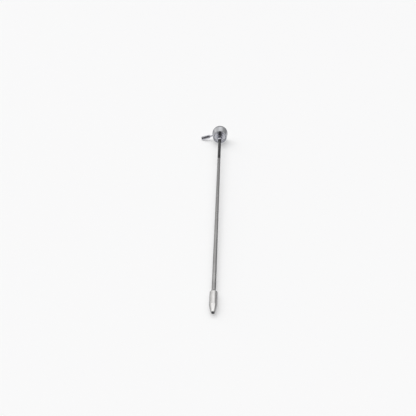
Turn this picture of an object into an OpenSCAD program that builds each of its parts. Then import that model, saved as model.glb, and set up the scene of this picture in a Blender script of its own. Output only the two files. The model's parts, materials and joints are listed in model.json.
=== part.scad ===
// Drill-driven paint mixer with a right-angle gear head, lying at rest on a bench.
// A hex drive shank turns a bevel pinion; the bevel gear turns the spindle and the long mixing shaft.
// Origin: centre of the footprint on the bench, +Z up, head towards +Y, mixing tip towards -Y.

/* [Mixing shaft] */
// Diameter of the mixing shaft
shaft_d = 8; // [7:0.5:9]
// Bare shaft between the seal cap and the mixing tip
shaft_reach = 544; // [300:1:800]
// Threaded stretch of the shaft in front of the seal cap
thread_show = 94; // [20:1:150]
// Pitch of that thread
thread_pitch = 1.25; // [1:0.25:1.5]

/* [Mixing tip] */
// Overall length of the tip
tip_len = 46; // [40:1:70]
// Diameter of the tip
tip_d = 14.8; // [13:0.2:20]
// Length of the cone at the end of the tip
tip_cone_len = 15; // [10:0.5:20]
// Diameter of the flat nose
tip_nose_d = 7.4; // [7:0.1:9]
// Length of the shoulder where the tip meets the shaft
tip_shoulder_len = 3.5; // [2:0.5:5]

/* [Gear head] */
// Diameter of the head at its widest
head_d = 45.6; // [43:0.2:60]
// Diameter of the front rim
front_d = 41.4; // [40:0.2:54]
// Diameter of the back face
back_d = 40; // [38.6:0.2:52]
// Length of the head along the shaft
head_len = 32.5; // [31:0.5:42]
// Distance from the shank axis to the back face
back_set = 9; // [8.8:0.1:12]
// Depth of the dish in the front face
dish_depth = 6; // [4:0.5:6]
// Width of the flat lip around the dish
dish_lip = 2.4; // [1.5:0.1:4]
// Diameter of the cavity that holds the gears
cavity_d = 28; // [26:0.5:30]
// Thickness of the back cover
cover_thick = 2.8; // [2.4:0.1:4]

/* [Nose] */
// Length of the nose and its seal cap in front of the front face
nose_reach = 24; // [22:0.5:32]
// Diameter of the nose where it leaves its flange
nose_root_d = 17.6; // [17:0.1:20]
// Diameter of the nose at its front shoulder
nose_tip_d = 14.4; // [14:0.1:16]
// Diameter of the seal cap
cap_d = 12; // [11.6:0.1:13]
// Length of the seal cap
cap_len = 5.5; // [5:0.5:8]

/* [Drive shank] */
// Width of the hex shank across its flats
hex_af = 9.5; // [8:0.5:13]
// Length of the hex
hex_len = 26; // [20:1:40]
// Diameter of the round neck
neck_d = 5.5; // [5:0.1:6]
// Length of the neck outside the head
neck_len = 8.7; // [6:0.1:16]

/* [Gears] */
// Module of the bevel gears at their outer end
gear_module = 0.8; // [0.7:0.05:0.85]
// Teeth of the pinion
pinion_teeth = 12; // [10:1:13]
// Teeth of the gear
gear_teeth = 24; // [20:2:26]
// Length of the teeth along the pitch cone
face_width = 3.2; // [2.5:0.1:3.5]

/* [Hidden] */

$fn = 64;

// clearances
run_gap = 0.03;        // radial clearance of a running fit
end_gap = 0.05;        // axial clearance of a thrust face
eps = 0.01;            // overshoot of a cut past the face that it opens

// edges
front_edge = 0.6;
small_edge = 0.4;

// stations along the shaft: distance from the shank axis towards the tip
back_z = -back_set;
front_z = head_len - back_set;
floor_z = front_z - dish_depth;
front_wall = 7.9;
widest_z = 1;
wall_z = floor_z - front_wall;
nose_end_z = front_z + nose_reach;
cap_z = nose_end_z - cap_len;
tip_z = nose_end_z + shaft_reach;
tip_end_z = tip_z + tip_len;
crease_z = tip_end_z - tip_cone_len;
shaft_r = shaft_d / 2;
head_r = head_d / 2;
front_r = front_d / 2;
back_r = back_d / 2;
cavity_r = cavity_d / 2;

// back cover, gasket and screws
gasket_thick = 0.4;
cover_lip = 1.4;
cover_r = back_r - cover_lip;
cover_in_z = back_z + cover_thick;
seat_z = cover_in_z + gasket_thick;
screw_count = 4;
screw_r = 1.5;
screw_head_r = 2.2;
screw_len = 8;
screw_circle_r = (cavity_r + cover_r) / 2;
screw_hole_spare = 0.6;
screw_key_r = 1.1;
screw_key_depth = 1.1;

// bevel gear geometry: both pitch cones share the point where the two axes cross
pressure_angle = 20;
tooth_short = 0.85;    // working height of a tooth as a share of the module
tooth_root = 1.15;     // depth of the root as a share of the module
backlash = 0.22;       // taken off each tooth's thickness at the pitch line
gear_cone = atan(gear_teeth / pinion_teeth);
pinion_cone = 90 - gear_cone;
gear_pitch_r = gear_module * gear_teeth / 2;
pinion_pitch_r = gear_module * pinion_teeth / 2;
cone_dist = norm([gear_pitch_r, pinion_pitch_r]);
inner_share = (cone_dist - face_width) / cone_dist;
addendum = gear_module * tooth_short;
dedendum = gear_module * tooth_root;

// bearing between the nose and the spindle
bearing_len = 5;
bearing_r = 8;
ball_r = 1.25;
ball_count = 8;
race_r = (bearing_r + shaft_r) / 2;
race_land = 1;
race_play = 0.05;
cage_half = 0.55;
cage_len = 3.2;
cage_play = 0.08;
bearing_z = wall_z;
bearing_end_z = bearing_z + bearing_len;

// spindle, gear seat and rear bush
journal_r = 3;
rear_bush_wall = 1.2;
rear_boss_wall = 1.4;
rear_bush_len = 3;
rear_boss_end_z = cover_in_z + rear_bush_len;
rear_washer_thick = 0.5;
journal_end_z = cover_in_z + 0.2;
shoulder_z = rear_boss_end_z + rear_washer_thick + 2 * end_gap;
socket_r = shaft_r + 1.6;
socket_len = 14.4;
socket_end_z = bearing_end_z + socket_len;
socket_floor_z = bearing_end_z + 2.4;
gear_hub_r = 7;
gear_step_r = shaft_r + 0.9;
gear_step_len = 0.5;
gear_face_z = cone_dist * inner_share * cos(gear_cone) + 0.6;
clip_thick = 0.7;
clip_depth = 0.4;
clip_reach = 1.4;
gear_clip_z = gear_face_z - clip_thick;
gear_pin_r = 0.9;
gear_pin_z = bearing_z - gear_step_len - gear_pin_r - 0.5;
shaft_pin_r = 1.2;
shaft_pin_z = (socket_floor_z + socket_end_z) / 2;

// nose, seal cap and O-ring
nose_spigot_r = 9.6;
nose_flange_r = 12.2;
nose_flange_len = 1.4;
nose_gap = 0.3;
nose_bore_r = socket_r + nose_gap;
nose_bore_end_z = socket_end_z + 0.5;
nose_shoulder_len = 3;
cap_spigot_r = 5;
cap_spigot_len = 2.5;
cap_web = 0.8;
cap_ledge = 0.2;       // how far the seal cap stands over the face of the nose
shaft_clear = 0.3;
seal_r = cap_d / 2 - 0.7;
seal_inset = 0.3;
ring_r = 0.6;
ring_circle_r = 10.9;

// drive shank, its bush, seal and clip: distances from the shaft axis outwards
neck_r = neck_d / 2;
spigot_r = 1.8;
spigot_start = cone_dist * inner_share * cos(pinion_cone) + 0.2;
pinion_hub_r = 3.6;
pinion_hub_end = cone_dist * cos(pinion_cone) + dedendum * sin(pinion_cone) + 2.4;
input_washer_thick = 0.5;
input_washer_in = pinion_hub_end + end_gap;
input_bush_in = input_washer_in + input_washer_thick;
input_bush_r = 4.5;
mouth_front_r = head_r - (head_r - front_r) * (input_bush_r - widest_z) / (front_z - front_edge - widest_z);
mouth_back_r = back_r + (head_r - back_r) * sqrt(1 - pow((input_bush_r + widest_z) / (widest_z - back_z), 2));
mouth_r = min(mouth_front_r, mouth_back_r);
input_face = sqrt(pow(mouth_r, 2) - pow(input_bush_r, 2));
input_seal_thick = 1.6;
input_seal_in = input_face - input_seal_thick - 0.2;
shank_clip_in = input_face + 0.25;
hex_start = head_r + neck_len;
hex_end = hex_start + hex_len;
hex_corner_r = hex_af / 2 / cos(30);
hex_end_r = hex_af / 2 - 0.8;
hex_slope = 1.2;
pinion_pin_r = 0.6;
pinion_pin_at = pinion_hub_end - 1.2;

// end of the shaft, tip and its screw
shaft_edge = 0.5;
thread_share = 0.35;   // depth of the thread as a share of its pitch
thread_lead = 1;
press_len = 15.5;
press_gap = 0.5;
screw_hole_lead = 1;
tip_flat = 1.2;
tip_edge = 0.3;
tip_nose_edge = 0.5;
tip_nose_bevel = 0.2;
tip_screw_r = 1.5;
tip_screw_start = 6;
tip_screw_head_r = 2.75;
tip_screw_head_gap = 0.15;
tip_screw_sink = 3.6;
tip_screw_recess = 0.5;
tip_screw_key_r = 1.45;
tip_screw_key_depth = 1.6;

// rest on the bench: the widest ring of the head, crease of the tip and outer end of the shank touch it
tilt = atan((head_r - tip_d / 2) / (crease_z - widest_z));
axis_h = head_r * cos(tilt) + widest_z * sin(tilt);
hex_rest = hex_end - hex_slope;
hex_flat_half = hex_corner_r / 2;
rest_h = axis_h / cos(tilt) - hex_flat_half * tan(tilt);
roll = asin(rest_h / norm([hex_rest, hex_af / 2])) - atan(hex_af / 2 / hex_rest);
low_x = -hex_end * cos(roll) - hex_end_r * sin(roll);
low_y = -tip_end_z * cos(tilt) - tip_nose_d / 2 * sin(tilt);
high_y = back_set * cos(tilt) + back_r * sin(tilt);
origin_x = (head_r + low_x) / 2;
origin_y = (high_y + low_y) / 2;

// ---- frames ----

// From the frame of the two crossing axes to the bench
module lay() {
    translate([-origin_x, -origin_y, axis_h]) rotate([tilt, 0, 0]) rotate([0, -roll, 0]) children();
}

// Children's +Z runs along the shaft towards the tip, from the shank axis
module on_shaft() {
    lay() rotate([90, 0, 0]) children();
}

// Children's +Z runs outwards along the shank, from the shaft axis
module on_shank() {
    lay() rotate([0, -90, 0]) children();
}

// ---- shapes used more than once ----

// Round piece between two stations
module rod(r, z0, z1) {
    translate([0, 0, z0]) cylinder(r = r, h = z1 - z0);
}

// Ring between two stations
module ring(r_in, r_out, z0, z1) {
    difference() {
        rod(r_out, z0, z1);
        rod(r_in, z0 - eps, z1 + eps);
    }
}

// Pin across the axis at a station, along X
module cross_pin(r, len, z) {
    translate([-len / 2, 0, z]) rotate([0, 90, 0]) cylinder(r = r, h = len, $fn = 32);
}

// Open retaining ring
module retaining_ring(r_in, r_out, z0, thick) {
    gap_w = r_in;
    difference() {
        ring(r_in, r_out, z0, z0 + thick);
        translate([0, -gap_w / 2, z0 - eps]) cube([2 * r_out, gap_w, thick + 2 * eps]);
    }
}

// Arc of points [r, z] about a centre
function arc(cr, cz, radius, a0, a1, steps = 8) = [
    for (i = [0 : steps]) let (a = a0 + (a1 - a0) * i / steps) [cr + radius * cos(a), cz + radius * sin(a)]
];

// ---- bevel teeth ----

// Radius and half thickness of a tooth, offset from its pitch cone, where it crosses the pitch plane
function flank(cone, offset) = let (
    plane = cone_dist * cos(cone),
    angle = cone + atan(offset / cone_dist),
    grow = plane / cos(angle) / norm([cone_dist, offset]),
    half = PI * gear_module / 4 - backlash / 2 - offset * tan(pressure_angle)
) [plane * tan(angle), half * grow];

// Section of all the teeth in the pitch plane
module tooth_section(teeth, cone) {
    tip = flank(cone, addendum);
    mid = flank(cone, 0);
    root = flank(cone, -dedendum);
    for (i = [0 : teeth - 1])
        rotate(i * 360 / teeth)
            polygon([
                [root[0] * 0.9, -root[1]], [root[0], -root[1]], [mid[0], -mid[1]], [tip[0], -tip[1]],
                [tip[0], tip[1]], [mid[0], mid[1]], [root[0], root[1]], [root[0] * 0.9, root[1]]
            ]);
}

// Point [r, z] on the outer end of a tooth, offset from the pitch cone
function back_point(cone, offset) = [
    cone_dist * sin(cone) + offset * cos(cone),
    cone_dist * cos(cone) - offset * sin(cone)
];

// Teeth of one wheel, which taper towards the crossing point of the axes
module bevel_teeth(teeth, cone) {
    plane = cone_dist * cos(cone);
    reach = plane * (1 + 1 / teeth);
    tip = back_point(cone, addendum);
    foot = back_point(cone, -dedendum * 1.1);
    intersection() {
        translate([0, 0, reach]) mirror([0, 0, 1])
            linear_extrude(height = reach - plane * inner_share * 0.8, scale = plane * inner_share * 0.8 / reach)
                scale(reach / plane) tooth_section(teeth, cone);
        rotate_extrude() polygon([tip, foot, foot * inner_share, tip * inner_share]);
    }
}

// ---- head: fixed pieces ----

module head_housing() {
    dish_r = front_r - dish_lip;
    bulge_steps = 10;
    color("silver") on_shaft() difference() {
        rotate(90) rotate_extrude($fn = 128) polygon(concat(
            [[nose_spigot_r, wall_z], [cavity_r, wall_z], [cavity_r, seat_z], [cover_r, seat_z], [cover_r, back_z]],
            [for (i = [0 : bulge_steps]) let (a = 90 * i / bulge_steps)
                [back_r + (head_r - back_r) * sin(a), widest_z + (back_z - widest_z) * cos(a)]],
            [[front_r, front_z - front_edge], [front_r - front_edge, front_z]],
            arc(dish_r - dish_depth, front_z, dish_depth, 0, -90),
            [[nose_spigot_r, floor_z]]
        ));
        ring(ring_circle_r - ring_r, ring_circle_r + ring_r, floor_z - 2 * ring_r, floor_z + eps);
        for (i = [0 : screw_count - 1])
            rotate(45 + i * 360 / screw_count) translate([screw_circle_r, 0, 0])
                rod(screw_r, back_z, back_z + screw_len + screw_hole_spare, $fn = 32);
        rotate([0, -90, 0]) rod(input_bush_r, cavity_r - 2, head_r + 1);
    }
}

module nose_cone() {
    cone_z = floor_z + nose_flange_len;
    flare_r = 1.5;
    shoulder_z = cap_z - nose_shoulder_len;
    face_r = cap_d / 2 - cap_ledge;
    color("gainsboro") on_shaft() rotate_extrude($fn = 96) polygon(concat(
        [[bearing_r, wall_z], [nose_spigot_r, wall_z], [nose_spigot_r, floor_z], [nose_flange_r, floor_z]],
        [[nose_flange_r, cone_z - small_edge], [nose_flange_r - small_edge, cone_z]],
        arc(nose_root_d / 2 + flare_r, cone_z + flare_r, flare_r, -90, -180),
        [[nose_tip_d / 2, shoulder_z]],
        [for (i = [1 : 6]) let (a = 15 * i)
            [face_r + (nose_tip_d / 2 - face_r) * cos(a), shoulder_z + nose_shoulder_len * sin(a)]],
        [[cap_spigot_r, cap_z], [cap_spigot_r, cap_z + cap_spigot_len]],
        [[shaft_r + shaft_clear, cap_z + cap_spigot_len], [shaft_r + shaft_clear, nose_bore_end_z]],
        [[nose_bore_r, nose_bore_end_z], [nose_bore_r, bearing_end_z], [bearing_r, bearing_end_z]]
    ));
}

module nose_o_ring() {
    color("dimgray") on_shaft() translate([0, 0, floor_z - ring_r])
        rotate_extrude() translate([ring_circle_r, 0]) circle(r = ring_r, $fn = 24);
}

module seal_cap() {
    web_z = cap_z + cap_spigot_len;
    color("silver") on_shaft() rotate_extrude() polygon([
        [cap_spigot_r, cap_z], [cap_d / 2, cap_z], [cap_d / 2, nose_end_z - small_edge],
        [cap_d / 2 - small_edge, nose_end_z], [seal_r, nose_end_z], [seal_r, web_z + cap_web],
        [shaft_r + shaft_clear, web_z + cap_web], [shaft_r + shaft_clear, web_z], [cap_spigot_r, web_z]
    ]);
}

module shaft_seal() {
    lip = 0.5;
    z0 = cap_z + cap_spigot_len + cap_web;
    z1 = nose_end_z - seal_inset;
    color("black") on_shaft() rotate_extrude() polygon([
        [shaft_r + run_gap, z0], [seal_r, z0], [seal_r, z1], [seal_r - lip, z1],
        [shaft_r + lip, z1 - lip], [shaft_r + run_gap, z1]
    ]);
}

// Countersunk hole or screw body, head at the back face
module countersunk(r, head, len) {
    union() {
        cylinder(r1 = head, r2 = r, h = head - r, $fn = 32);
        rod(r, 0, len, $fn = 32);
    }
}

module back_cover() {
    bush_r = journal_r + run_gap + rear_bush_wall;
    color("silver") on_shaft() difference() {
        union() {
            rod(cover_r, back_z, cover_in_z, $fn = 128);
            rod(bush_r + rear_boss_wall, cover_in_z, rear_boss_end_z);
        }
        rod(bush_r, cover_in_z, rear_boss_end_z + eps);
        for (i = [0 : screw_count - 1])
            rotate(45 + i * 360 / screw_count) translate([screw_circle_r, 0, back_z])
                countersunk(screw_r, screw_head_r, screw_len);
    }
}

module cover_gasket() {
    color("dimgray") on_shaft() difference() {
        ring(cavity_r, cover_r, cover_in_z, seat_z);
        for (i = [0 : screw_count - 1])
            rotate(45 + i * 360 / screw_count) translate([screw_circle_r, 0, back_z])
                rod(screw_r, 0, screw_len, $fn = 32);
    }
}

module cover_screws() {
    color("lightgray") on_shaft() for (i = [0 : screw_count - 1])
        rotate(45 + i * 360 / screw_count) translate([screw_circle_r, 0, back_z]) difference() {
            countersunk(screw_r, screw_head_r, screw_len);
            translate([0, 0, -eps]) cylinder(r = screw_key_r, h = screw_key_depth, $fn = 6);
        }
}

module rear_bush() {
    color("peru") on_shaft()
        ring(journal_r + run_gap, journal_r + run_gap + rear_bush_wall, cover_in_z, rear_boss_end_z);
}

module rear_thrust_washer() {
    z0 = rear_boss_end_z;
    color("peru") on_shaft()
        ring(journal_r + run_gap, journal_r + rear_bush_wall + rear_boss_wall, z0, z0 + rear_washer_thick);
}

// ---- ball bearing ----

module race_groove() {
    translate([0, 0, bearing_z + bearing_len / 2])
        rotate_extrude() translate([race_r, 0]) circle(r = ball_r + race_play, $fn = 32);
}

module bearing_outer_race() {
    color("lightsteelblue") on_shaft() difference() {
        ring(bearing_r - race_land, bearing_r, bearing_z, bearing_end_z);
        race_groove();
    }
}

module bearing_inner_race() {
    color("lightsteelblue") on_shaft() difference() {
        ring(shaft_r, shaft_r + race_land, bearing_z, bearing_end_z);
        race_groove();
    }
}

module ball_set(r) {
    for (i = [0 : ball_count - 1])
        rotate(i * 360 / ball_count) translate([race_r, 0, bearing_z + bearing_len / 2]) sphere(r = r, $fn = 32);
}

module bearing_balls() {
    color("white") on_shaft() ball_set(ball_r);
}

module bearing_cage() {
    mid = bearing_z + bearing_len / 2;
    color("goldenrod") on_shaft() difference() {
        ring(race_r - cage_half, race_r + cage_half, mid - cage_len / 2, mid + cage_len / 2);
        for (i = [0 : ball_count - 1])
            rotate(i * 360 / ball_count) translate([0, 0, mid]) rotate([0, 90, 0])
                rod(ball_r + cage_play, race_r - 2 * cage_half, race_r + 2 * cage_half, $fn = 32);
    }
}

// ---- input bearing ----

module input_bush() {
    color("peru") on_shank() ring(neck_r + run_gap, input_bush_r, input_bush_in, input_seal_in);
}

module input_seal() {
    color("black") on_shank()
        ring(neck_r + run_gap, input_bush_r, input_seal_in, input_seal_in + input_seal_thick);
}

module input_thrust_washer() {
    color("peru") on_shank()
        ring(neck_r + run_gap, input_bush_r, input_washer_in, input_washer_in + input_washer_thick);
}

// ---- output: pieces that turn with the shaft ----

module output_spindle() {
    color("lightgray") on_shaft() difference() {
        union() {
            rod(journal_r, journal_end_z, shoulder_z + eps);
            rod(shaft_r, shoulder_z, bearing_end_z + eps);
            rod(socket_r, bearing_end_z, socket_end_z);
        }
        rod(shaft_r, socket_floor_z, socket_end_z + eps);
        ring(shaft_r - clip_depth, shaft_r + 1, gear_clip_z, gear_clip_z + clip_thick);
        cross_pin(gear_pin_r, 4 * shaft_r, gear_pin_z);
        cross_pin(shaft_pin_r, 4 * shaft_r, shaft_pin_z);
    }
}

module bevel_gear() {
    foot = back_point(gear_cone, -dedendum);
    inner = foot * inner_share;
    step_z = bearing_z - gear_step_len;
    color("darkgray") on_shaft() difference() {
        union() {
            rotate_extrude() polygon([
                [shaft_r, gear_face_z], [inner[0] - 0.6, gear_face_z], inner, foot, [foot[0], foot[1] + 0.6],
                [gear_hub_r, foot[1] + 1.2], [gear_hub_r, step_z], [gear_step_r, step_z],
                [gear_step_r, bearing_z], [shaft_r, bearing_z]
            ]);
            // a gap between teeth faces the pinion
            rotate(180 + 180 / gear_teeth) bevel_teeth(gear_teeth, gear_cone);
        }
        cross_pin(gear_pin_r, 4 * gear_hub_r, gear_pin_z);
    }
}

module gear_pin() {
    color("gray") on_shaft() cross_pin(gear_pin_r, 2 * gear_hub_r - 0.4, gear_pin_z);
}

module gear_circlip() {
    color("gray") on_shaft() retaining_ring(shaft_r - clip_depth, shaft_r + clip_reach, gear_clip_z, clip_thick);
}

module mixing_shaft() {
    thread_end = nose_end_z + thread_show;
    root_r = shaft_r - thread_pitch * thread_share;
    turns = floor((thread_end - nose_end_z) / thread_pitch);
    shaft_end_z = tip_z + press_len;
    color("darkgray") on_shaft() difference() {
        rotate_extrude($fn = 48) polygon(concat(
            [[0, socket_floor_z], [shaft_r - shaft_edge, socket_floor_z], [shaft_r, socket_floor_z + shaft_edge]],
            [for (i = [0 : turns - 1], p = [0 : 2])
                [p == 1 ? root_r : shaft_r, nose_end_z + thread_lead + (i + [0.1, 0.5, 0.9][p]) * thread_pitch]],
            [[shaft_r, shaft_end_z - shaft_edge], [shaft_r - shaft_edge, shaft_end_z], [0, shaft_end_z]]
        ));
        cross_pin(shaft_pin_r, 4 * shaft_r, shaft_pin_z);
        rod(tip_screw_r, tip_z + tip_screw_start - screw_hole_lead, shaft_end_z + eps, $fn = 24);
    }
}

module shaft_pin() {
    color("gray") on_shaft() cross_pin(shaft_pin_r, 2 * socket_r - 0.2, shaft_pin_z);
}

module mixing_tip() {
    tip_r = tip_d / 2;
    nose_r = tip_nose_d / 2;
    shoulder_z = tip_z + tip_shoulder_len;
    bore_end_z = tip_z + press_len + press_gap;
    seat_r = tip_screw_head_r + tip_screw_head_gap;
    screw_seat_z = tip_end_z - tip_screw_sink;
    color("gainsboro") on_shaft() rotate_extrude($fn = 96) polygon(concat(
        [[shaft_r, tip_z], [shaft_r + tip_flat, tip_z]],
        [[tip_r - tip_edge, shoulder_z - tip_edge], [tip_r, shoulder_z + tip_edge], [tip_r, crease_z]],
        [[nose_r + tip_nose_bevel, tip_end_z - tip_nose_edge], [nose_r - tip_edge, tip_end_z], [seat_r, tip_end_z]],
        [[seat_r, screw_seat_z], [tip_screw_r, screw_seat_z], [tip_screw_r, bore_end_z], [shaft_r, bore_end_z]]
    ));
}

module tip_screw() {
    head_z = tip_end_z - tip_screw_sink;
    top_z = tip_end_z - tip_screw_recess;
    color("dimgray") on_shaft() difference() {
        union() {
            rod(tip_screw_r, tip_z + tip_screw_start, head_z + eps, $fn = 24);
            rod(tip_screw_head_r, head_z, top_z, $fn = 32);
        }
        translate([0, 0, top_z - tip_screw_key_depth])
            cylinder(r = tip_screw_key_r, h = tip_screw_key_depth + eps, $fn = 6);
    }
}

// ---- input: pieces that turn with the drive shank ----

module drive_shank() {
    groove = neck_r - clip_depth;
    color("silver") on_shank() union() {
        difference() {
            rod(neck_r, pinion_hub_end, hex_start + eps);
            ring(groove, neck_r + 1, shank_clip_in, shank_clip_in + clip_thick);
        }
        difference() {
            rod(spigot_r, spigot_start, pinion_hub_end + eps, $fn = 32);
            cross_pin(pinion_pin_r, 4 * spigot_r, pinion_pin_at);
        }
        intersection() {
            // a flat of the hex faces the bench
            rotate(30) translate([0, 0, hex_start]) cylinder(r = hex_corner_r, h = hex_len, $fn = 6);
            rotate_extrude() polygon([
                [0, hex_start], [hex_end_r, hex_start], [hex_corner_r, hex_start + hex_slope],
                [hex_corner_r, hex_end - hex_slope], [hex_end_r, hex_end], [0, hex_end]
            ]);
        }
    }
}

module bevel_pinion() {
    foot = back_point(pinion_cone, -dedendum);
    inner = foot * inner_share;
    color("darkgray") on_shank() difference() {
        union() {
            rotate_extrude() polygon([
                [spigot_r, inner[1] - 0.3], inner, foot, [pinion_hub_r, foot[1] + 0.4],
                [pinion_hub_r, pinion_hub_end], [spigot_r, pinion_hub_end]
            ]);
            // a tooth points at the gear
            rotate(-90) bevel_teeth(pinion_teeth, pinion_cone);
        }
        cross_pin(pinion_pin_r, 4 * pinion_hub_r, pinion_pin_at);
    }
}

module pinion_pin() {
    color("gray") on_shank() cross_pin(pinion_pin_r, 2 * pinion_hub_r - 0.2, pinion_pin_at);
}

module shank_circlip() {
    color("gray") on_shank() retaining_ring(neck_r - clip_depth, neck_r + clip_reach, shank_clip_in, clip_thick);
}

head_housing();
nose_cone();
nose_o_ring();
seal_cap();
shaft_seal();
back_cover();
cover_gasket();
cover_screws();
rear_bush();
rear_thrust_washer();
bearing_outer_race();
bearing_inner_race();
bearing_balls();
bearing_cage();
input_bush();
input_seal();
input_thrust_washer();
output_spindle();
bevel_gear();
gear_pin();
gear_circlip();
mixing_shaft();
shaft_pin();
mixing_tip();
tip_screw();
drive_shank();
bevel_pinion();
pinion_pin();
shank_circlip();
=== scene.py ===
"""Looks of a drill paint mixer with a right-angle gear head, lying on a white bench."""
import json
import math

import bpy
from mathutils import Matrix, Vector


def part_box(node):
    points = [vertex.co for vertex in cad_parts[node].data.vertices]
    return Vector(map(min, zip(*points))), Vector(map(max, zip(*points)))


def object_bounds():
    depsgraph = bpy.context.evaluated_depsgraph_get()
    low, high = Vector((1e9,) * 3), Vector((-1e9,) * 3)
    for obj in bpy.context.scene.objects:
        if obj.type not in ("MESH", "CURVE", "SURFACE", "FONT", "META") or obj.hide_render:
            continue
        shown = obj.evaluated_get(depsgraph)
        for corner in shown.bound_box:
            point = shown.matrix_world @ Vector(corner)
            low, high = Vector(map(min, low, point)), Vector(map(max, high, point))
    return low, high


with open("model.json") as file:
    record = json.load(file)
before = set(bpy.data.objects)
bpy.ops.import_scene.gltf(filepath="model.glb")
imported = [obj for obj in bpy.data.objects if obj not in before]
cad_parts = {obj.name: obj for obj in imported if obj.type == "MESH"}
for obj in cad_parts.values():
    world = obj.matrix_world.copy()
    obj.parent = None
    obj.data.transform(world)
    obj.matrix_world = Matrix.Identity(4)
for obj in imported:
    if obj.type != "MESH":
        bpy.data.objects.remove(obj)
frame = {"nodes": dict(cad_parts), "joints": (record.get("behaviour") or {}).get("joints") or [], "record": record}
cad_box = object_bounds()

# ---- places taken from the frame ----

SPIN = next(j for j in frame["joints"] if j["name"] == "shaft_spin")
AXIS_POINT = Vector(SPIN["pos_m"])
AXIS_DIR = Vector(SPIN["axis"]).normalized()
SHANK_DIR = Vector(next(j for j in frame["joints"] if j["name"] == "shank_spin")["axis"]).normalized()

# the thread runs this far beyond the seal cap, and its end is measured from the crossing of the axes
THREAD_SHOW = 0.094
THREAD_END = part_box("seal_cap")[0][1] - AXIS_POINT.y - THREAD_SHOW
THREAD_FADE = 0.004

# ---- camera: stands beyond the tip and looks down along the shaft towards the head ----

CAMERA_SIDE = 0.0172
CAMERA_BACK = 0.4094
CAMERA_HEIGHT = 0.5470
CAMERA_YAW = math.radians(-1.761)
CAMERA_PITCH = math.radians(37.60)
CAMERA_ROLL = math.radians(1.122)
CAMERA_LENS = 33.26
CAMERA_SENSOR = 36.0

# ---- colours, linear ----

FLOOR_COLOUR = (0.60, 0.60, 0.595)
FLOOR_GLOW = 0.345
CHROME = (0.80, 0.81, 0.82)
CHROME_COOL = (0.76, 0.76, 0.80)
SHANK_COLOUR = (0.86, 0.86, 0.90)
STEEL = (0.44, 0.435, 0.425)
THREAD_STEEL = (0.22, 0.22, 0.22)
STEEL_DARK = (0.30, 0.30, 0.31)
TIP_STEEL = (0.70, 0.69, 0.67)
BRASS = (0.70, 0.50, 0.22)
BRONZE = (0.55, 0.34, 0.17)
RUBBER = (0.022, 0.022, 0.024)
FIBRE = (0.10, 0.095, 0.085)


# ---- grain of the metals: noise scales per metre ----

CLOUD_SCALE = 70.0
SPECK_SCALE = 900.0
BAR_RING_SCALE = 1900.0
BAR_BAND_SCALE = 28.0
SCRATCH_STRETCH = (2600.0, 22.0, 2600.0)
DUST_SCALE = 160.0
DUST_TINT = 0.03


# ---- small helpers for node materials ----

class Shader:
    """A node tree with short names for what the materials below need."""

    def __init__(self, name):
        self.material = bpy.data.materials.new(name)
        self.material.use_nodes = True
        self.tree = self.material.node_tree
        self.bsdf = self.tree.nodes["Principled BSDF"]

    def node(self, kind, **settings):
        n = self.tree.nodes.new(kind)
        for key, value in settings.items():
            setattr(n, key, value)
        return n

    def link(self, a, b):
        self.tree.links.new(a, b)

    def math(self, operation, a, b=None):
        n = self.node("ShaderNodeMath", operation=operation)
        for socket, value in zip(n.inputs, (a, b)):
            if value is None:
                continue
            if isinstance(value, (int, float)):
                socket.default_value = value
            else:
                self.link(value, socket)
        return n.outputs[0]

    def position(self):
        """Place in the object, measured from the crossing of the two axes, in metres."""
        coords = self.node("ShaderNodeTexCoord")
        move = self.node("ShaderNodeVectorMath", operation="SUBTRACT")
        self.link(coords.outputs["Object"], move.inputs[0])
        move.inputs[1].default_value = AXIS_POINT
        return move.outputs[0]

    def turned(self, axis):
        """Lathe coordinates about an axis: (distance along it, distance from it, 0)."""
        place = self.position()
        along = self.node("ShaderNodeVectorMath", operation="DOT_PRODUCT")
        self.link(place, along.inputs[0])
        along.inputs[1].default_value = axis
        across = self.node("ShaderNodeVectorMath", operation="CROSS_PRODUCT")
        self.link(place, across.inputs[0])
        across.inputs[1].default_value = axis
        radius = self.node("ShaderNodeVectorMath", operation="LENGTH")
        self.link(across.outputs[0], radius.inputs[0])
        joined = self.node("ShaderNodeCombineXYZ")
        self.link(along.outputs["Value"], joined.inputs[0])
        self.link(radius.outputs["Value"], joined.inputs[1])
        return joined.outputs[0]

    def noise(self, vector, scale, detail=3.0, rough=0.55, low=0.35, high=0.65):
        """Noise stretched to run from 0 to 1 between two of its values."""
        n = self.node("ShaderNodeTexNoise")
        self.link(vector, n.inputs["Vector"])
        n.inputs["Scale"].default_value = scale
        n.inputs["Detail"].default_value = detail
        n.inputs["Roughness"].default_value = rough
        r = self.node("ShaderNodeMapRange")
        self.link(n.outputs["Fac"], r.inputs["Value"])
        r.inputs["From Min"].default_value = low
        r.inputs["From Max"].default_value = high
        return r.outputs["Result"]

    def ramp(self, value, low, high):
        r = self.node("ShaderNodeMapRange")
        self.link(value, r.inputs["Value"])
        r.inputs["To Min"].default_value = low
        r.inputs["To Max"].default_value = high
        return r.outputs["Result"]

    def mix(self, factor, a, b):
        m = self.node("ShaderNodeMix", data_type="RGBA")
        self.link(factor, m.inputs["Factor"])
        m.inputs["A"].default_value = (*a, 1)
        m.inputs["B"].default_value = (*b, 1)
        return m.outputs["Result"]

    def bump(self, heights):
        """Chain of bumps from (height, strength, distance in metres)."""
        normal = None
        for height, strength, distance in heights:
            b = self.node("ShaderNodeBump")
            b.inputs["Strength"].default_value = strength
            b.inputs["Distance"].default_value = distance
            self.link(height, b.inputs["Height"])
            if normal is not None:
                self.link(normal, b.inputs["Normal"])
            normal = b.outputs["Normal"]
        self.link(normal, self.bsdf.inputs["Normal"])


def shade(colour, factor):
    return tuple(min(1.0, c * factor) for c in colour)


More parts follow.
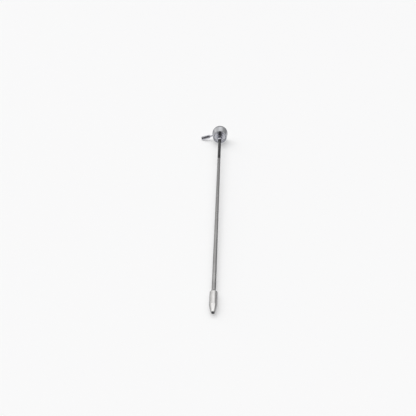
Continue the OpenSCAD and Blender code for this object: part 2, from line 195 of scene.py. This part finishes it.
def metal(name, colour, rough, axis, rings=2600.0, ring_depth=4e-6, smudge=0.5, grime=0.75):
    """Machined metal: lathe rings about an axis, smudges in the gloss, grime in the colour."""
    s = Shader(name)
    place = s.position()
    lathe = s.turned(axis)
    ring = s.noise(lathe, rings, detail=2.0)
    cloud = s.noise(place, CLOUD_SCALE, detail=5.0, low=0.42, high=0.66)
    speck = s.noise(place, SPECK_SCALE, detail=2.0, low=0.60, high=0.72)
    gloss = s.math("ADD", s.ramp(cloud, rough, rough * (1 + smudge)), s.ramp(ring, 0.0, rough * 0.35))
    s.link(s.math("ADD", gloss, s.ramp(speck, 0.0, 0.08)), s.bsdf.inputs["Roughness"])
    tint = s.math("MULTIPLY", s.math("ADD", cloud, speck), 0.5)
    s.link(s.mix(tint, colour, shade(colour, grime)), s.bsdf.inputs["Base Color"])
    s.bsdf.inputs["Metallic"].default_value = 1.0
    s.bump([(ring, 0.6, ring_depth), (speck, 0.25, 3e-6)])
    return s.material


def ground_bar(name, colour, thread_colour, rough, axis, thread_end):
    """Ground bar: fine rings crossed by long scratches, with the thread at the head end coloured darker."""
    s = Shader(name)
    lathe = s.turned(axis)
    ring = s.noise(lathe, BAR_RING_SCALE, detail=3.0)
    band = s.noise(lathe, BAR_BAND_SCALE, detail=4.0, low=0.38, high=0.64)
    place = s.position()
    stretched = s.node("ShaderNodeVectorMath", operation="MULTIPLY")
    s.link(place, stretched.inputs[0])
    stretched.inputs[1].default_value = SCRATCH_STRETCH
    scratch = s.noise(stretched.outputs[0], 1.0, detail=1.0, low=0.62, high=0.70)
    gloss = s.math("ADD", s.ramp(ring, rough, rough * 1.4), s.ramp(band, 0.0, rough * 0.6))
    s.link(s.math("ADD", gloss, s.ramp(scratch, 0.0, 0.12)), s.bsdf.inputs["Roughness"])
    along = s.node("ShaderNodeSeparateXYZ")
    s.link(lathe, along.inputs[0])
    thread = s.node("ShaderNodeMapRange")
    s.link(along.outputs["X"], thread.inputs["Value"])
    thread.inputs["From Min"].default_value = thread_end - THREAD_FADE
    thread.inputs["From Max"].default_value = thread_end
    bare = s.mix(band, colour, shade(colour, 0.82))
    zones = s.node("ShaderNodeMix", data_type="RGBA")
    s.link(thread.outputs["Result"], zones.inputs["Factor"])
    s.link(bare, zones.inputs["A"])
    s.link(s.mix(band, thread_colour, shade(thread_colour, 0.7)), zones.inputs["B"])
    s.link(zones.outputs["Result"], s.bsdf.inputs["Base Color"])
    s.bsdf.inputs["Metallic"].default_value = 1.0
    s.bump([(ring, 0.5, 5e-6), (scratch, 0.35, 6e-6)])
    return s.material


def soft(name, colour, rough, grain, depth):
    """Rubber or fibre: matt, with a fine grain and dust in it."""
    s = Shader(name)
    place = s.position()
    fine = s.noise(place, grain, detail=4.0)
    dust = s.noise(place, DUST_SCALE, detail=5.0, low=0.50, high=0.72)
    s.link(s.mix(dust, colour, tuple(c + DUST_TINT for c in colour)), s.bsdf.inputs["Base Color"])
    s.link(s.ramp(fine, rough, min(1.0, rough + 0.2)), s.bsdf.inputs["Roughness"])
    s.bump([(fine, 0.5, depth)])
    return s.material


# ---- materials of the CAD nodes ----

MATERIALS = {
    "head_chrome": metal("head_chrome", CHROME, 0.07, AXIS_DIR, ring_depth=1.5e-6, grime=0.86),
    "nose_chrome": metal("nose_chrome", CHROME_COOL, 0.09, AXIS_DIR, ring_depth=2e-6, grime=0.86),
    "cover_chrome": metal("cover_chrome", CHROME, 0.14, AXIS_DIR, rings=1800.0, ring_depth=5e-6),
    "shank_chrome": metal("shank_chrome", SHANK_COLOUR, 0.30, SHANK_DIR, rings=1500.0, ring_depth=4e-6),
    "shaft_steel": ground_bar("shaft_steel", STEEL, THREAD_STEEL, 0.20, AXIS_DIR, THREAD_END),
    "tip_steel": metal("tip_steel", TIP_STEEL, 0.17, AXIS_DIR, rings=2200.0, ring_depth=5e-6),
    "screw_steel": metal("screw_steel", STEEL_DARK, 0.32, AXIS_DIR),
    "gear_steel": metal("gear_steel", STEEL_DARK, 0.28, AXIS_DIR),
    "pin_steel": metal("pin_steel", STEEL_DARK, 0.30, SHANK_DIR),
    "bearing_steel": metal("bearing_steel", CHROME, 0.10, AXIS_DIR),
    "cage_brass": metal("cage_brass", BRASS, 0.30, AXIS_DIR),
    "bush_bronze": metal("bush_bronze", BRONZE, 0.42, AXIS_DIR, ring_depth=8e-6),
    "seal_rubber": soft("seal_rubber", RUBBER, 0.55, 2400.0, 2e-5),
    "gasket_fibre": soft("gasket_fibre", FIBRE, 0.75, 1600.0, 3e-5),
}


slot_of = {row["node"]: row["material_slot"] for row in frame["record"]["subparts"]}
for name, obj in frame["nodes"].items():
    material = MATERIALS[slot_of[name]]
    if not obj.material_slots:
        obj.data.materials.append(material)
    for slot in obj.material_slots:
        slot.material = material


# ---- bench ----

BENCH_HALF = 12.0
BENCH_DROP = 2e-5
# painted reflection: what polished metal sees of the bench, near and far colour, and the distances between which
# one turns into the other
PAINTED_BENCH_NEAR = (0.58, 0.58, 0.60)
PAINTED_BENCH_FAR = (0.16, 0.16, 0.17)
PAINTED_BENCH_FADE = (0.36, 0.70)


def bench():
    half = BENCH_HALF
    mesh = bpy.data.meshes.new("bench")
    corners = [(-half, -half, 0), (half, -half, 0), (half, half, 0), (-half, half, 0)]
    mesh.from_pydata(corners, [], [(0, 1, 2, 3)])
    obj = bpy.data.objects.new("bench", mesh)
    bpy.context.collection.objects.link(obj)
    obj.location.z = cad_box[0][2] - BENCH_DROP
    s = Shader("bench")
    s.bsdf.inputs["Base Color"].default_value = (*FLOOR_COLOUR, 1)
    s.bsdf.inputs["Roughness"].default_value = 0.9
    s.bsdf.inputs["Specular IOR Level"].default_value = 0.1
    # the camera sees the bench brighter by FLOOR_GLOW, so it comes out near white with faint shadows
    light_path = s.node("ShaderNodeLightPath")
    s.bsdf.inputs["Emission Color"].default_value = (1, 1, 1, 1)
    glow = s.math("MULTIPLY", light_path.outputs["Is Camera Ray"], FLOOR_GLOW)
    s.link(glow, s.bsdf.inputs["Emission Strength"])
    # painted reflection: polished metal sees a greyer glowing bench, which darkens with distance as painted shade
    away = s.node("ShaderNodeVectorMath", operation="LENGTH")
    s.link(s.node("ShaderNodeNewGeometry").outputs["Position"], away.inputs[0])
    fade = s.node("ShaderNodeMapRange")
    s.link(away.outputs["Value"], fade.inputs["Value"])
    fade.inputs["From Min"].default_value = PAINTED_BENCH_FADE[0]
    fade.inputs["From Max"].default_value = PAINTED_BENCH_FADE[1]
    painted_reflection = s.node("ShaderNodeEmission")
    s.link(s.mix(fade.outputs["Result"], PAINTED_BENCH_NEAR, PAINTED_BENCH_FAR), painted_reflection.inputs["Color"])
    choose = s.node("ShaderNodeMixShader")
    s.link(light_path.outputs["Is Glossy Ray"], choose.inputs["Fac"])
    s.link(s.bsdf.outputs["BSDF"], choose.inputs[1])
    s.link(painted_reflection.outputs["Emission"], choose.inputs[2])
    s.link(choose.outputs["Shader"], s.tree.nodes["Material Output"].inputs["Surface"])
    mesh.materials.append(s.material)


# ---- light ----

SUN_AIM = (0.35, -0.30, -1.0)
SUN_POWER = 1.15
SUN_SPREAD = math.radians(70)


def soft_sun(name, aim, power, spread):
    """Even light from a wide patch of sky around one direction, which metal doesn't mirror."""
    light = bpy.data.lights.new(name, "SUN")
    light.energy = power
    light.angle = spread
    lamp = bpy.data.objects.new(name, light)
    bpy.context.collection.objects.link(lamp)
    lamp.visible_glossy = False
    lamp.rotation_euler = Vector(aim).to_track_quat("-Z", "Y").to_euler()


# brightness of the sky against the sine of its height
SKY_STOPS = [(0.0, 0.20), (0.25, 0.22), (0.46, 0.25), (0.62, 0.50), (0.80, 0.98), (1.0, 1.0)]
SKY_LEVEL = 1.35
# the room is darker behind the camera: two values of the sine towards the head, and the level left there
SKY_BEHIND = (-0.45, 0.10, 0.11)
# a pale wall on the left: two values of the sine towards it, and how much it adds
SKY_LEFT = (0.25, 0.75, 0.45)


def sky():
    """Pale above, grey near the horizon, dark behind the camera and paler on the left."""
    world = bpy.data.worlds.new("studio")
    bpy.context.scene.world = world
    world.use_nodes = True
    nodes, links = world.node_tree.nodes, world.node_tree.links
    background = nodes["Background"]
    coords = nodes.new("ShaderNodeTexCoord")
    split = nodes.new("ShaderNodeSeparateXYZ")
    ramp = nodes.new("ShaderNodeValToRGB")
    links.new(coords.outputs["Generated"], split.inputs[0])
    links.new(split.outputs["Z"], ramp.inputs["Fac"])
    stops = ramp.color_ramp.elements
    while len(stops) < len(SKY_STOPS):
        stops.new(1.0)
    for stop, (height, level) in zip(stops, SKY_STOPS):
        stop.position = height
        stop.color = (level, level, level * 1.02, 1)
    behind = nodes.new("ShaderNodeMapRange")
    links.new(split.outputs["Y"], behind.inputs["Value"])
    behind.inputs["From Min"].default_value = SKY_BEHIND[0]
    behind.inputs["From Max"].default_value = SKY_BEHIND[1]
    behind.inputs["To Min"].default_value = SKY_BEHIND[2]
    behind.inputs["To Max"].default_value = SKY_LEVEL
    left = nodes.new("ShaderNodeMapRange")
    links.new(split.outputs["X"], left.inputs["Value"])
    left.inputs["From Min"].default_value = -SKY_LEFT[0]
    left.inputs["From Max"].default_value = -SKY_LEFT[1]
    left.inputs["To Max"].default_value = SKY_LEFT[2]
    level = nodes.new("ShaderNodeMix")
    level.data_type = "RGBA"
    level.blend_type = "ADD"
    level.inputs["Factor"].default_value = 1.0
    links.new(ramp.outputs["Color"], level.inputs["A"])
    links.new(left.outputs["Result"], level.inputs["B"])
    links.new(level.outputs["Result"], background.inputs["Color"])
    links.new(behind.outputs["Result"], background.inputs["Strength"])


def camera():
    yaw, pitch, roll = CAMERA_YAW, CAMERA_PITCH, CAMERA_ROLL
    look = Vector((math.sin(yaw) * math.cos(pitch), math.cos(yaw) * math.cos(pitch), -math.sin(pitch)))
    right = Vector((math.cos(yaw), -math.sin(yaw), 0))
    up = right.cross(look)
    right, up = (
        math.cos(roll) * right + math.sin(roll) * up,
        -math.sin(roll) * right + math.cos(roll) * up,
    )
    turn = Matrix((right, up, -look)).transposed().to_4x4()
    data = bpy.data.cameras.new("camera")
    data.lens = CAMERA_LENS
    data.sensor_width = CAMERA_SENSOR
    obj = bpy.data.objects.new("camera", data)
    bpy.context.collection.objects.link(obj)
    obj.matrix_world = Matrix.Translation((CAMERA_SIDE, cad_box[0][1] - CAMERA_BACK, CAMERA_HEIGHT)) @ turn
    bpy.context.scene.camera = obj


bench()
sky()
soft_sun("window", SUN_AIM, SUN_POWER, SUN_SPREAD)
camera()
bpy.context.scene.view_settings.view_transform = "Standard"
